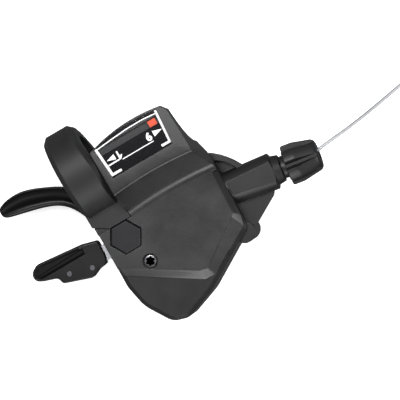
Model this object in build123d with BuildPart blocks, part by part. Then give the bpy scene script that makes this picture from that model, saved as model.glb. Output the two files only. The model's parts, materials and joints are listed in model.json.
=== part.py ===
from build123d import *
import math
import os

# Right-hand trigger gear shifter for a 22.2 mm handlebar.
# Origin: centre of the clamp bore. +X along the bar towards the cable outlet, +Y towards the rider,
# +Z up, out of the main face. All sizes are millimetres and degrees.

os.makedirs("parts", exist_ok=True)

# Handlebar and clamp band
bar_d = 22.2
band_width = 13.8
band_wall = 5.4
band_edge = 1.7
band_taper = 2.0
split_gap = 1.5
lug_top = 3.0
lug_corner = 1.4

# Clamp bolt, nut and hexagon cap
bolt_x = 1.9
bolt_y = -28.2
bolt_d = 5.0
bolt_play = 0.2
bolt_head_d = 8.5
bolt_head_h = 2.4
bolt_key_af = 3.0
bolt_key_depth = 1.4
nut_af = 8.0
nut_h = 1.8
hex_af = 10.5
hex_seam = 0.3
hex_proud = 0.6
hex_edge = 0.4
tongue_w = 8.0
tongue_t = 2.8
tongue_top = -0.2
tongue_end = 5.5
tongue_play = 0.35

# General clearances
fit = 0.05
face_gap = 0.2
moving_gap = 0.4

# Pod shell: how far it reaches along the bar, forward from the bar and down, and its walls
pod_right = 42.2
pod_reach = 63.8
pod_depth = 26.0
pod_front = 13.0
wall_t = 2.0
roof_z = 0.0
floor_t = 2.0
plate_h = 2.4
rim = 1.5
riser_fillet = 3.5
riser_brow = 1.2
neck_wall = 1.6
bar_clearance = 0.4
bump_r = 3.9
bump_drop = 3.0
rib_t = 5.0
web_t = 3.0

# Display block over the bar
block_seam = 0.3
plateau_z = 15.0
window_margin_x0 = 2.2
window_margin_x1 = 7.4
window_y0 = -8.1
window_far_y = 4.0
window_bulge = 2.4
window_far_rise = 1.5
window_flare = 0.5
lens_t = 1.4
lens_proud = 0.3
lens_ledge = 0.6
lens_side_ledge = 0.9
scale_t = 0.8
track_depth = 0.35
needle_len = 3.0
needle_w = 2.9
needle_h = 0.7
needle_margin = 3.0
needle_y = 1.6
needle_travel = 18.0
needle_spare = 1.0

# Main axle and what turns on it
axle_d = 6.0
spigot_d = 4.0
flange_d = 11.0
flange_t = 0.5
washer_d = 10.0
axle_nut_af = 7.0
axle_nut_h = 1.4
hub_r = 8.0
spacer_d = 9.0

# Cable line, spool and ratchet
cable_d = 1.2
cable_z = -6.3
cable_turn = -9.0
line_r = 10.85
spool_r = 12.0
spool_t = 6.0
groove_play = 0.3
head_d = 4.0
head_len = 3.6
ratchet_t = 2.0
teeth = 27
tip_r = 11.0
root_r = 9.7
rivet_d = 2.4
rivet_circle_r = 6.5
rivet_count = 3

# Levers
arm_t = 2.0
arm_drop = 1.2
trigger_reach = 35.6
trigger_arm_w = 5.4
paddle_t = 4.8
paddle_rivet_d = 1.8
finger_hollow_r = 7.0
finger_hollow_depth = 2.2
thumb_reach = 34.5
thumb_hollow_r = 3.4
thumb_hollow_depth = 1.5
lever_edge = 0.5
thumb_arm_t = 2.4
thumb_arm_w = 4.2
pawl_pin_d = 2.4
pawl_boss_r = 2.3
pawl_nose_r = 0.7
pawl_clear = 0.35
drive_pin_angle = 210.0
hold_pin_angle = 5.0
pawl_pin_r = 15.3
pawl_reach = 26.0
spring_wire = 0.8
spring_pitch = 0.9

# Cable boss and barrel adjuster, as distances along the cable from the spool
boss_root = 2.6
boss_root_d = 12.0
boss_d = 13.5
boss_len = 18.9
boss_collar_d = 10.8
boss_tip_d = 9.8
boss_tip_len = 3.2
boss_round = 0.7
boss_flat = 5.6
thread_d = 4.8
thread_len = 11.0
wire_bore_d = 2.4
adjuster_gap = 1.9
adjuster_len = 12.4
adjuster_core_d = 10.6
adjuster_wide_d = 14.6
adjuster_end_d = 11.2
adjuster_round = 1.9
wing_count = 6
wing_w = 4.4
neck_d = 8.2
casing_d = 5.0
casing_depth = 8.0

# Coil of the wire's unseen length, on the surface that the pod stands on
coil_away = 54.2
coil_r = 12.0
bundle_r = 3.4
tie_wall = 0.6
tie_len = 4.0
tie_angle = 200.0
tail_angle = -20.0
tail_start_r = 14.0
tail_out = 8.5
end_cap_d = 2.2
end_cap_len = 7.0

# Cover screw and bottom screws
screw_d = 2.4
screw_head_d = 4.6
screw_head_h = 1.3
screw_recess_d = 5.6
screw_len = 4.0
screw_post_len = 1.6
screw_post_d = 5.6
chin_post_inset = 4.7212
star_lobe_d = 0.9
star_depth = 0.9
bottom_screw_len = 9.0

# Levels that follow from the sizes above
base_z = roof_z - pod_depth
bar_r = bar_d / 2
band_r = bar_r + band_wall
saddle_r = bar_r + bar_clearance
plate_z = roof_z + plate_h
hex_top = plate_z + hex_proud
split_top = tongue_top - tongue_t
split_bottom = split_top - split_gap
lug_bottom = split_bottom - tongue_t
lug_end_y = bolt_y + hex_af / 2 + hex_seam
neck_bottom = lug_bottom - wall_t
floor_z = base_z + floor_t
ceiling_z = roof_z - wall_t
spool_top = cable_z + spool_t / 2
spool_bottom = cable_z - spool_t / 2
ratchet_bottom = spool_bottom - ratchet_t
trigger_arm_z = ratchet_bottom - arm_drop - arm_t
paddle_z = trigger_arm_z + arm_t / 2 - paddle_t / 2
blade_top = paddle_z - moving_gap
blade_z = floor_z + moving_gap
thumb_arm_z = (blade_top + blade_z - thumb_arm_t) / 2
lens_z = plateau_z + lens_proud - lens_t
scale_z = saddle_r + scale_t
scale_top = scale_z + scale_t
block_x0 = band_width / 2 + block_seam
window_x0 = block_x0 + window_margin_x0
window_x1 = pod_right - window_margin_x1
window_open_y = 2 * (window_far_y + window_bulge)
needle_x = window_x1 - needle_margin


# Outlines are drawn in percent of a main size, so that they follow it

def pod_at(x, y):
    """Point on the pod: percent of its reach along the bar, percent of its reach forward."""
    return (x / 100 * pod_right, -y / 100 * pod_reach)


def trigger_at(x, y):
    """Point on the trigger: percent of its reach, to the left of and forward from the bar's centre."""
    return (-x / 100 * trigger_reach, -y / 100 * trigger_reach)


def thumb_at(x, y):
    """Point on the thumb lever: percent of its reach, to the left of and back from the bar's centre."""
    return (-x / 100 * thumb_reach, y / 100 * thumb_reach)


axle_x, axle_y = pod_at(49.8, 61.9)
screw_x, screw_y = pod_at(12.0, 62.7)
bump_point = pod_at(91.6, 75.3)
chin_post = (pod_at(14.2, 0)[0], pod_at(0, 100.8)[1] + chin_post_inset)
bottom_screw_points = [pod_at(83.4, 28.5), bump_point, chin_post]

# The cable's straight line: it leaves the spool at the tangent point and runs out through the boss
turn = math.radians(cable_turn)
tangent_x = axle_x - line_r * math.sin(turn)
tangent_y = axle_y + line_r * math.cos(turn)
boss_start = (pod_right - tangent_x) / math.cos(turn) - boss_root
boss_shoulder = boss_start + boss_len
boss_end = boss_shoulder + boss_tip_len
adjuster_start = boss_end + adjuster_gap
adjuster_end = adjuster_start + adjuster_len
line_axis = Axis((tangent_x, tangent_y, cable_z), (math.cos(turn), math.sin(turn), 0))
line_plane = Plane(
    origin=(tangent_x, tangent_y, cable_z),
    x_dir=(math.cos(turn), math.sin(turn), 0),
    z_dir=(0, 0, 1),
)


def cable_plane(distance):
    """Plane across the cable at a distance along it from the spool."""
    x = tangent_x + distance * math.cos(turn)
    y = tangent_y + distance * math.sin(turn)
    return Plane(origin=(x, y, cable_z), x_dir=(0, 0, 1), z_dir=(math.cos(turn), math.sin(turn), 0))


def around_axle(radius, angle):
    """Point at a radius and an angle from the main axle."""
    a = math.radians(angle)
    return (axle_x + radius * math.cos(a), axle_y + radius * math.sin(a))


def strip(points, width):
    """Strip of one width with round ends along a chain of points, in the open sketch."""
    for (x0, y0), (x1, y1) in zip(points, points[1:]):
        with Locations(((x0 + x1) / 2, (y0 + y1) / 2)):
            run = math.hypot(x1 - x0, y1 - y0)
            SlotCenterToCenter(run, width, rotation=math.degrees(math.atan2(y1 - y0, x1 - x0)))


def rounded_polygon(sketch, points, rounds):
    """Closed outline with its corners rounded, in the open sketch; a round of 0 leaves a corner sharp."""
    Polygon(*points, align=None)
    for (x, y), radius in zip(points, rounds):
        if radius:
            fillet(sketch.vertices().sort_by_distance((x, y, 0))[0], radius)


# Outline of the pod round the mechanism, seen from above
plate_left_y = lug_end_y - hex_seam
pod_points = [
    (block_x0, plate_left_y),
    (block_x0, -pod_front),
    (pod_at(86.5, 0)[0], -pod_front),
    pod_at(97.2, 30.6),
    pod_at(99.3, 37.6),
    pod_at(97.2, 73.2),
    pod_at(43.0, 94.3),
    pod_at(15.4, 100.8),
    pod_at(2.0, 98.1),
    pod_at(-12.6, 82.6),
    pod_at(-16.6, 69.0),
    (pod_at(-15.2, 0)[0], plate_left_y),
]
pod_rounds = [rim * times for times in (0, 0, 0, 0, 0, 2, 9, 3, 4, 9, 6, 0)]

# Part of the pod that reaches forward under the clamp lug
neck_x0 = pod_points[-1][0]
neck_x1 = block_x0 + 1
neck_y1 = -bar_r - 3 * neck_wall

# 1 Clamp band: split ring with two lugs that the bolt draws together
with BuildPart() as clamp_band:
    with BuildSketch(Plane.YZ):
        Circle(band_r)
    extrude(amount=band_width / 2, both=True)
    taper_points = [
        (band_width / 2, 0),
        (band_width / 2 - band_taper, band_r),
        (band_width, band_r),
        (band_width, 0),
    ]
    with BuildSketch(Plane.XY.offset(-band_r)):
        Polygon(*taper_points, align=None)
    extrude(amount=2 * band_r, mode=Mode.SUBTRACT)
    chamfer(clamp_band.edges().filter_by(GeomType.LINE, reverse=True), band_edge)
    with BuildSketch(Plane.XY.offset(lug_bottom)):
        with BuildLine():
            Polyline(
                (-band_width / 2, -bar_r),
                (-band_width / 2, lug_end_y + lug_corner),
                (-band_width / 2 + lug_corner, lug_end_y),
                (band_width / 2, lug_end_y),
                (band_width / 2, -bar_r),
                close=True,
            )
        make_face()
    extrude(amount=lug_top - lug_bottom)
    with BuildSketch(Plane.XY.offset(lug_bottom)):
        with Locations((bolt_x, bolt_y - tongue_end)):
            Rectangle(tongue_w, tongue_end - bolt_y - bar_r, align=(Align.CENTER, Align.MIN))
    extrude(amount=tongue_top - lug_bottom)
    with BuildSketch(Plane.YZ):
        Circle(bar_r)
    extrude(amount=band_width, both=True, mode=Mode.SUBTRACT)
    with BuildSketch(Plane.XY.offset(split_bottom)):
        with Locations((0, split_gap - bar_r)):
            Rectangle(2 * band_width, -2 * bolt_y, align=(Align.CENTER, Align.MAX))
    extrude(amount=split_gap, mode=Mode.SUBTRACT)
    with BuildSketch(Plane.XY.offset(lug_bottom)):
        with Locations((bolt_x, bolt_y)):
            Circle(bolt_d / 2 + bolt_play)
    extrude(amount=tongue_top - lug_bottom, mode=Mode.SUBTRACT)
clamp_band.part.label = "clamp_band"
export_step(clamp_band.part, "parts/clamp_band.step")

# 2 Clamp bolt: low socket head under the pod's neck, shank up into the nut
with BuildPart() as clamp_bolt:
    with BuildSketch(Plane.XY.offset(neck_bottom - bolt_head_h)):
        with Locations((bolt_x, bolt_y)):
            Circle(bolt_head_d / 2)
    extrude(amount=bolt_head_h)
    with BuildSketch(Plane.XY.offset(neck_bottom)):
        with Locations((bolt_x, bolt_y)):
            Circle(bolt_d / 2)
    extrude(amount=tongue_top + nut_h - neck_bottom)
    with BuildSketch(Plane.XY.offset(neck_bottom - bolt_head_h)):
        with Locations((bolt_x, bolt_y)):
            RegularPolygon(bolt_key_af / 2, 6, major_radius=False)
    extrude(amount=bolt_key_depth, mode=Mode.SUBTRACT)
clamp_bolt.part.label = "clamp_bolt"
export_step(clamp_bolt.part, "parts/clamp_bolt.step")

# 3 Clamp nut, held against turning in the cap
with BuildPart() as clamp_nut:
    with BuildSketch(Plane.XY.offset(tongue_top)):
        with Locations((bolt_x, bolt_y)):
            RegularPolygon(nut_af / 2, 6, major_radius=False)
            Circle(bolt_d / 2 + fit, mode=Mode.SUBTRACT)
    extrude(amount=nut_h)
clamp_nut.part.label = "clamp_nut"
export_step(clamp_nut.part, "parts/clamp_nut.step")

# 4 Hexagon cap over the nut, a little proud of the main face
with BuildPart() as hex_cap:
    with BuildSketch(Plane.XY.offset(tongue_top)):
        with Locations((bolt_x, bolt_y)):
            RegularPolygon(hex_af / 2, 6, major_radius=False)
    extrude(amount=hex_top - tongue_top)
    chamfer(hex_cap.faces().sort_by(Axis.Z)[-1].edges(), hex_edge)
    with BuildSketch(Plane.XY.offset(tongue_top)):
        with Locations((bolt_x, bolt_y)):
            RegularPolygon(nut_af / 2 + fit, 6, major_radius=False)
    extrude(amount=nut_h + 2 * fit, mode=Mode.SUBTRACT)
hex_cap.part.label = "hex_cap"
export_step(hex_cap.part, "parts/hex_cap.step")

# 5 Top cover: bevelled main plate, riser and the plateau that carries the display over the bar
plate_foot = [
    (neck_x0, plate_left_y),
    (block_x0, plate_left_y),
    (block_x0, -pod_front),
    pod_at(95.5, 20.4),
    pod_at(99.5, 36.0),
    pod_at(97.6, 66.1),
    pod_at(95.3, 71.9),
    pod_at(53.6, 87.5),
    pod_at(44.1, 87.3),
    pod_at(-13.5, 63.0),
    pod_at(-15.9, 57.4),
]
plate_face = [
    (neck_x0 + face_gap, plate_left_y),
    (block_x0, plate_left_y),
    (block_x0, -pod_front),
    pod_at(93.0, 20.4),
    pod_at(94.6, 36.0),
    pod_at(92.2, 62.4),
    pod_at(90.5, 64.4),
    pod_at(50.5, 81.8),
    pod_at(44.1, 81.2),
    pod_at(-13.3, 57.8),
    pod_at(-14.9, 56.4),
]
block_foot_z = plate_z - plate_h / 2
block_foot = [
    (block_x0, pod_at(0, 34.8)[1]),
    pod_at(56.9, 33.4),
    pod_at(100.0, 35.1),
    pod_at(99.9, 26.0),
    pod_at(97.0, 18.4),
    pod_at(96.6, 6.0),
    pod_at(95.0, -5.3),
    pod_at(89.0, -9.9),
    pod_at(56.9, -11.6),
    (block_x0, pod_at(0, -7.2)[1]),
]
block_top = [
    (block_x0, pod_at(0, 21.3)[1]),
    pod_at(52.1, 19.9),
    pod_at(92.4, 21.5),
    pod_at(92.5, 20.0),
    pod_at(92.6, 18.4),
    pod_at(92.4, 5.6),
    pod_at(91.5, -5.2),
    pod_at(87.2, -8.8),
    pod_at(54.5, -10.2),
    (block_x0, pod_at(0, -5.6)[1]),
]


def block_ring(height, forward):
    """Points of the display block's section at a height, with its front moved forward."""
    part_way = (height - block_foot_z) / (plateau_z - block_foot_z)
    ring = []
    for (x0, y0), (x1, y1) in zip(block_foot, block_top):
        ring.append((x0 + part_way * (x1 - x0), y0 + part_way * (y1 - y0)))
    return [(x, y - forward) for x, y in ring[:3]] + ring[3:]


# The riser's foot is rounded into the main plate: heights on the round, and how far it stands forward there
riser_slope = math.atan2(plateau_z - block_foot_z, block_top[0][1] - block_foot[0][1])
riser_forward = riser_fillet * math.tan(riser_slope / 2)
block_levels = [(block_foot_z, riser_forward)]
for step in range(5):
    angle = riser_slope * step / 4
    height = riser_fillet * (1 - math.cos(angle))
    forward = riser_forward + height / math.tan(riser_slope) - riser_fillet * math.sin(angle)
    block_levels.append((plate_z + height, forward))
# Its brow is rounded into the plateau in the same way
for step in range(4):
    angle = riser_slope * (3 - step) / 3
    drop = riser_brow * (1 - math.cos(angle))
    forward = riser_brow * (math.sin(angle) - math.tan(riser_slope / 2)) - drop / math.tan(riser_slope)
    block_levels.append((plateau_z - drop, forward))

with BuildPart() as top_cover:
    # Display block: from a bowed foot on the main plate up to the plateau, hollowed for the bar
    for height, forward in block_levels:
        ring = block_ring(height, forward)
        with BuildSketch(Plane.XY.offset(height)):
            with BuildLine():
                ThreePointArc(*ring[:3])
                Polyline(*ring[2:8])
                ThreePointArc(*ring[7:])
                Line(ring[9], ring[0])
            make_face()
    loft(ruled=True)
    with BuildSketch(Plane.YZ.offset(block_x0 - 1)):
        Circle(saddle_r)
        with Locations((0, saddle_r)):
            Rectangle(2 * bar_r, 4 * bar_r, align=(Align.MIN, Align.MAX))
    extrude(amount=2 * pod_right, mode=Mode.SUBTRACT)
    with BuildSketch(Plane.XY.offset(roof_z)):
        Polygon(*plate_foot, align=None)
    with BuildSketch(Plane.XY.offset(plate_z)):
        Polygon(*plate_face, align=None)
    loft(ruled=True)
    # Window: a ledge for the lens, open at the far edge, and a deeper bed for the scale plate
    with BuildSketch(Plane.XY.offset(lens_z)):
        with BuildLine():
            Polyline(
                (window_x0 - window_flare, window_open_y),
                (window_x0 - window_flare, window_far_y),
                (window_x0 + window_flare, window_y0),
                (window_x1 - window_flare, window_y0),
                (window_x1 + window_flare, window_far_y),
                (window_x1 + window_flare, window_open_y),
                close=True,
            )
        make_face()
    extrude(amount=lens_t + 1, mode=Mode.SUBTRACT)
    with BuildSketch(Plane.XY.offset(scale_z)):
        with Locations(((window_x0 + window_x1) / 2, window_y0 + lens_ledge)):
            Rectangle(
                window_x1 - window_x0 - 2 * lens_side_ledge,
                window_far_y - window_y0 - 2 * lens_ledge,
                align=(Align.CENTER, Align.MIN),
            )
    extrude(amount=lens_z - scale_z + 0.1, mode=Mode.SUBTRACT)
    # Hollow under the riser
    with BuildSketch(Plane.YZ.offset(block_x0 + wall_t)):
        with BuildLine():
            Polyline(
                (-1.32 * pod_front, roof_z),
                (-1.32 * pod_front, 0.2 * plateau_z),
                (-1.14 * pod_front, 0.47 * plateau_z),
                (-1.05 * pod_front, 0.47 * plateau_z),
                (-1.05 * pod_front, roof_z),
                close=True,
            )
        make_face()
    extrude(amount=pod_right - block_x0 - 2.5 * wall_t, mode=Mode.SUBTRACT)
    # Hexagon opening, screw recess and screw hole
    with BuildSketch(Plane.XY.offset(roof_z - 1)):
        with Locations((bolt_x, bolt_y)):
            RegularPolygon(hex_af / 2 + hex_seam, 6, major_radius=False)
    extrude(amount=10, mode=Mode.SUBTRACT)
    with BuildSketch(Plane.XY.offset(plate_z - screw_head_h - 0.5)):
        with Locations((screw_x, screw_y)):
            Circle(screw_recess_d / 2)
    extrude(amount=5, mode=Mode.SUBTRACT)
    with BuildSketch(Plane.XY.offset(roof_z - 1)):
        with Locations((screw_x, screw_y)):
            Circle(screw_d / 2 + 2 * fit)
    extrude(amount=5, mode=Mode.SUBTRACT)
top_cover.part.label = "top_cover"
export_step(top_cover.part, "parts/top_cover.step")

# 6 Window lens: clear cover whose far edge bows out and rounds over
with BuildPart() as window_lens:
    with BuildSketch(Plane.XY.offset(lens_z)):
        with BuildLine():
            Polyline(
                (window_x0 - window_flare + fit, window_far_y),
                (window_x0 + window_flare + fit, window_y0 + fit),
                (window_x1 - window_flare - fit, window_y0 + fit),
                (window_x1 + window_flare - fit, window_far_y),
                (window_x1 + window_flare - fit, window_far_y + window_far_rise),
            )
            ThreePointArc(
                (window_x1 + window_flare - fit, window_far_y + window_far_rise),
                ((window_x0 + window_x1) / 2, window_far_y + window_bulge),
                (window_x0 - window_flare + fit, window_far_y),
            )
        make_face()
    extrude(amount=lens_t)
    far_edge = window_lens.faces().sort_by(Axis.Z)[-1].edges().sort_by(Axis.Y)[-1]
    fillet(far_edge, lens_t * 0.7)
window_lens.part.label = "window_lens"
export_step(window_lens.part, "parts/window_lens.step")

# 7 Scale plate with the track that the needle slides in
with BuildPart() as scale_plate:
    with BuildSketch(Plane.XY.offset(scale_z)):
        with Locations(((window_x0 + window_x1) / 2, window_y0 + lens_ledge + fit)):
            Rectangle(
                window_x1 - window_x0 - 2 * lens_side_ledge - 2 * fit,
                window_far_y - window_y0 - 2 * lens_ledge - 2 * fit,
                align=(Align.CENTER, Align.MIN),
            )
    extrude(amount=scale_t)
    with BuildSketch(Plane.XY.offset(scale_top - track_depth)):
        with Locations((needle_x + needle_len / 2 + moving_gap, needle_y)):
            Rectangle(
                needle_travel + needle_spare + needle_len + 2 * moving_gap,
                needle_w + 2 * moving_gap,
                align=(Align.MAX, Align.CENTER),
            )
    extrude(amount=track_depth, mode=Mode.SUBTRACT)
scale_plate.part.label = "scale_plate"
export_step(scale_plate.part, "parts/scale_plate.step")

# 8 Needle: red marker that slides along the track
with BuildPart() as needle:
    with BuildSketch(Plane.XY.offset(scale_top - track_depth + face_gap)):
        with Locations((needle_x, needle_y)):
            Rectangle(needle_len, needle_w)
    extrude(amount=needle_h)
needle.part.label = "needle"
export_step(needle.part, "parts/needle.step")

# 9 Cover screw with a star socket
with BuildPart() as cover_screw:
    with BuildSketch(Plane.XY.offset(plate_z - screw_head_h - 0.5)):
        with Locations((screw_x, screw_y)):
            Circle(screw_head_d / 2)
    extrude(amount=screw_head_h)
    fillet(cover_screw.faces().sort_by(Axis.Z)[-1].edges(), 0.35)
    with BuildSketch(Plane.XY.offset(plate_z - screw_head_h - 0.5)):
        with Locations((screw_x, screw_y)):
            Circle(screw_d / 2)
    extrude(amount=-screw_len)
    with BuildSketch(Plane.XY.offset(plate_z - 0.5 - star_depth)):
        with Locations((screw_x, screw_y)):
            Circle(star_lobe_d)
            with PolarLocations(star_lobe_d, 6):
                Circle(star_lobe_d / 2.4)
    extrude(amount=5, mode=Mode.SUBTRACT)
cover_screw.part.label = "cover_screw"
export_step(cover_screw.part, "parts/cover_screw.step")

# 10 Base housing: shell round the mechanism, with the clamp's seat, the cable boss and its ribs
with BuildPart() as base_housing:
    with BuildSketch(Plane.XY.offset(floor_z)) as pod_sketch:
        rounded_polygon(pod_sketch, pod_points, pod_rounds)
    extrude(amount=roof_z - floor_z)
    roof_edges = base_housing.faces().sort_by(Axis.Z)[-1].edges()
    chin_edges = roof_edges.filter_by(lambda e: e.center().Y < -0.69 * pod_reach)
    chamfer(chin_edges, rim)
    with BuildSketch(Plane.XY.offset(floor_z)):
        with Locations((neck_x0, neck_y1)):
            Rectangle(neck_x1 - neck_x0, neck_y1 - lug_end_y + 1, align=(Align.MIN, Align.MAX))
    extrude(amount=lug_bottom - floor_z)
    with BuildSketch(Plane.XY.offset(floor_z)):
        with Locations(bump_point):
            Circle(bump_r)
    extrude(amount=roof_z - bump_drop - floor_z)
    # Cable boss: it widens to a round shoulder and ends in a short collar; its top is flattened
    boss_points = [
        (boss_start, 0),
        (boss_start, boss_root_d / 2),
        (boss_shoulder, boss_d / 2),
        (boss_shoulder + boss_round, boss_collar_d / 2),
        (boss_end, boss_tip_d / 2),
        (boss_end, 0),
    ]
    with BuildSketch(line_plane):
        Polygon(*boss_points, align=None)
    revolve(axis=line_axis)
    with BuildSketch(Plane.XY.offset(cable_z + boss_flat)):
        with Locations((pod_right, tangent_y)):
            Rectangle(2 * boss_len, 4 * boss_d, align=(Align.MIN, Align.CENTER))
    extrude(amount=boss_d, mode=Mode.SUBTRACT)
    # Arched rib towards the bar and flat web towards the chin
    with BuildSketch(Plane.XY.offset(cable_z - rib_t / 2)):
        with BuildLine():
            ThreePointArc(pod_at(98.3, 27.0), pod_at(109.7, 33.9), pod_at(118.0, 42.3))
            Line(pod_at(118.0, 42.3), pod_at(114.2, 44.2))
            ThreePointArc(pod_at(114.2, 44.2), pod_at(108.1, 36.7), pod_at(98.3, 31.7))
            Line(pod_at(98.3, 31.7), pod_at(98.3, 27.0))
        make_face()
    extrude(amount=rib_t)
    rib_floor_points = [pod_at(98.3, 28.5), pod_at(109.0, 35.5), pod_at(116.0, 43.5), pod_at(98.3, 46.0)]
    with BuildSketch(Plane.XY.offset(cable_z - rib_t / 2)):
        Polygon(*rib_floor_points, align=None)
    extrude(amount=rib_t / 4)
    web_points = [
        pod_at(96.0, 51.7),
        pod_at(135.1, 59.6),
        pod_at(128.0, 65.7),
        pod_at(102.6, 75.2),
        pod_at(93.6, 73.7),
    ]
    with BuildSketch(Plane.XY.offset(cable_z - web_t)):
        Polygon(*web_points, align=None)
    extrude(amount=web_t)
    # Cavity for the mechanism
    with BuildSketch(Plane.XY.offset(floor_z)) as cavity_sketch:
        rounded_polygon(cavity_sketch, pod_points, pod_rounds)
        offset(amount=-wall_t, kind=Kind.INTERSECTION)
    extrude(amount=ceiling_z - floor_z, mode=Mode.SUBTRACT)
    with BuildSketch(Plane.XY.offset(floor_z)):
        with Locations((neck_x0 + wall_t, neck_y1 - wall_t)):
            Rectangle(neck_x1 - neck_x0, pod_front, align=(Align.MIN, Align.MAX))
    extrude(amount=neck_bottom - floor_z, mode=Mode.SUBTRACT)
    # Seat for the clamp's tongues: a floor and walls let into the shell
    seat_x0 = bolt_x - tongue_w / 2 - tongue_play
    seat_x1 = bolt_x + tongue_w / 2 + tongue_play
    seat_y0 = bolt_y - tongue_end - tongue_play
    with BuildSketch(Plane.XY.offset(neck_bottom)):
        with BuildLine():
            Polyline(
                (neck_x0 + face_gap, plate_left_y),
                (neck_x0 + face_gap, seat_y0 - neck_wall),
                (seat_x1 + neck_wall, seat_y0 - neck_wall),
                (seat_x1 + neck_wall, plate_left_y),
                close=True,
            )
        make_face()
    extrude(amount=roof_z - neck_bottom)
    with BuildSketch(Plane.XY.offset(lug_bottom)):
        with Locations((seat_x0, lug_end_y)):
            Rectangle(seat_x1 - seat_x0, lug_end_y - seat_y0, align=(Align.MIN, Align.MAX))
    extrude(amount=roof_z - lug_bottom + 1, mode=Mode.SUBTRACT)
    with BuildSketch(Plane.XY.offset(tongue_top - face_gap)):
        with Locations((bolt_x, bolt_y)):
            RegularPolygon(hex_af / 2 + hex_seam, 6, major_radius=False)
    extrude(amount=2, mode=Mode.SUBTRACT)
    with BuildSketch(Plane.XY.offset(neck_bottom - 1)):
        with Locations((bolt_x, bolt_y)):
            Circle(bolt_d / 2 + bolt_play)
    extrude(amount=10, mode=Mode.SUBTRACT)
    # Open side that both levers come out of
    with BuildSketch(Plane.XY.offset(floor_z)):
        with Locations(pod_at(1.6, 73.7)):
            Rectangle(2 * wall_t - 2 * neck_x0, 0.533 * pod_reach, align=(Align.MAX, Align.MIN))
    extrude(amount=neck_bottom - floor_z, mode=Mode.SUBTRACT)
    # Posts for the cover screw and the bottom screws
    with BuildSketch(Plane.XY.offset(ceiling_z)):
        with Locations((screw_x, screw_y)):
            Circle(screw_post_d / 2)
    extrude(amount=-screw_post_len)
    with BuildSketch(Plane.XY.offset(floor_z)):
        with Locations(*bottom_screw_points):
            Circle(screw_post_d / 2)
    extrude(amount=bottom_screw_len + 2)
    with BuildSketch(Plane.XY.offset(roof_z + 1)):
        with Locations((screw_x, screw_y)):
            Circle(screw_d / 2 + fit)
    extrude(amount=-screw_len - 1.5, mode=Mode.SUBTRACT)
    with BuildSketch(Plane.XY.offset(floor_z)):
        with Locations(*bottom_screw_points):
            Circle(screw_d / 2 + fit)
    extrude(amount=bottom_screw_len, mode=Mode.SUBTRACT)
    # Seats for the axle's upper end and the holding pawl's pin, and the cable's way out
    with BuildSketch(Plane.XY.offset(ceiling_z - 1)):
        with Locations((axle_x, axle_y)):
            Circle(spigot_d / 2 + fit)
        with Locations(around_axle(pawl_pin_r, hold_pin_angle)):
            Circle(pawl_pin_d / 2 + fit)
    extrude(amount=wall_t, mode=Mode.SUBTRACT)
    with BuildSketch(cable_plane(boss_start - 4)):
        Circle(wire_bore_d / 2)
    extrude(amount=boss_end - boss_start + 5, mode=Mode.SUBTRACT)
    with BuildSketch(cable_plane(boss_end - thread_len)):
        Circle(thread_d / 2 + fit)
    extrude(amount=thread_len + 1, mode=Mode.SUBTRACT)
base_housing.part.label = "base_housing"
export_step(base_housing.part, "parts/base_housing.step")

# 11 Bottom cover, with a boss for the axle's nut, a key hole under the clamp bolt and screw holes
with BuildPart() as bottom_cover:
    with BuildSketch(Plane.XY.offset(base_z)) as floor_sketch:
        rounded_polygon(floor_sketch, pod_points, pod_rounds)
        with Locations((neck_x0, neck_y1)):
            Rectangle(neck_x1 - neck_x0, neck_y1 - lug_end_y + 1, align=(Align.MIN, Align.MAX))
        with Locations(bump_point):
            Circle(bump_r)
    extrude(amount=floor_t)
    chamfer(bottom_cover.faces().sort_by(Axis.Z)[0].edges(), 0.6)
    with BuildSketch(Plane.XY.offset(base_z)):
        with Locations((bolt_x, bolt_y)):
            Circle(bolt_d / 2 + 0.5)
        with Locations((axle_x, axle_y)):
            Circle(spigot_d / 2 + fit)
        with Locations(*bottom_screw_points):
            Circle(screw_d / 2 + 2 * fit)
    extrude(amount=floor_t, mode=Mode.SUBTRACT)
    with BuildSketch(Plane.XY.offset(base_z)):
        with Locations((axle_x, axle_y)):
            Circle(axle_nut_af * 0.7)
        with Locations(*bottom_screw_points):
            Circle(screw_head_d / 2 + 2 * fit)
    extrude(amount=screw_head_h + 0.1, mode=Mode.SUBTRACT)
bottom_cover.part.label = "bottom_cover"
export_step(bottom_cover.part, "parts/bottom_cover.step")

# 12 Bottom screws, let into the bottom cover
with BuildPart() as bottom_screws:
    with BuildSketch(Plane.XY.offset(base_z + 0.1)):
        with Locations(*bottom_screw_points):
            Circle(screw_head_d / 2)
    extrude(amount=screw_head_h)
    with BuildSketch(Plane.XY.offset(base_z + 0.1 + screw_head_h)):
        with Locations(*bottom_screw_points):
            Circle(screw_d / 2)
    extrude(amount=bottom_screw_len - 0.5)
bottom_screws.part.label = "bottom_screws"
export_step(bottom_screws.part, "parts/bottom_screws.step")

# 13 Main axle: shoulder pin between the bottom cover and the roof
with BuildPart() as main_axle:
    with BuildSketch(Plane.XY.offset(floor_z)):
        with Locations((axle_x, axle_y)):
            Circle(axle_d / 2)
    extrude(amount=ceiling_z - floor_z)
    with BuildSketch(Plane.XY.offset(floor_z)):
        with Locations((axle_x, axle_y)):
            Circle(flange_d / 2)
    extrude(amount=flange_t)
    with BuildSketch(Plane.XY.offset(base_z + 0.1)):
        with Locations((axle_x, axle_y)):
            Circle(spigot_d / 2)
    extrude(amount=ceiling_z + wall_t / 2 - fit - base_z - 0.1)
main_axle.part.label = "main_axle"
export_step(main_axle.part, "parts/main_axle.step")

# 14 Axle nut, let into the bottom cover
with BuildPart() as axle_nut:
    with BuildSketch(Plane.XY.offset(base_z + screw_head_h + 0.1 - axle_nut_h + 0.1)):
        with Locations((axle_x, axle_y)):
            RegularPolygon(axle_nut_af / 2, 6, major_radius=False)
            Circle(spigot_d / 2 + fit, mode=Mode.SUBTRACT)
    extrude(amount=axle_nut_h - 0.1)
axle_nut.part.label = "axle_nut"
export_step(axle_nut.part, "parts/axle_nut.step")

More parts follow.
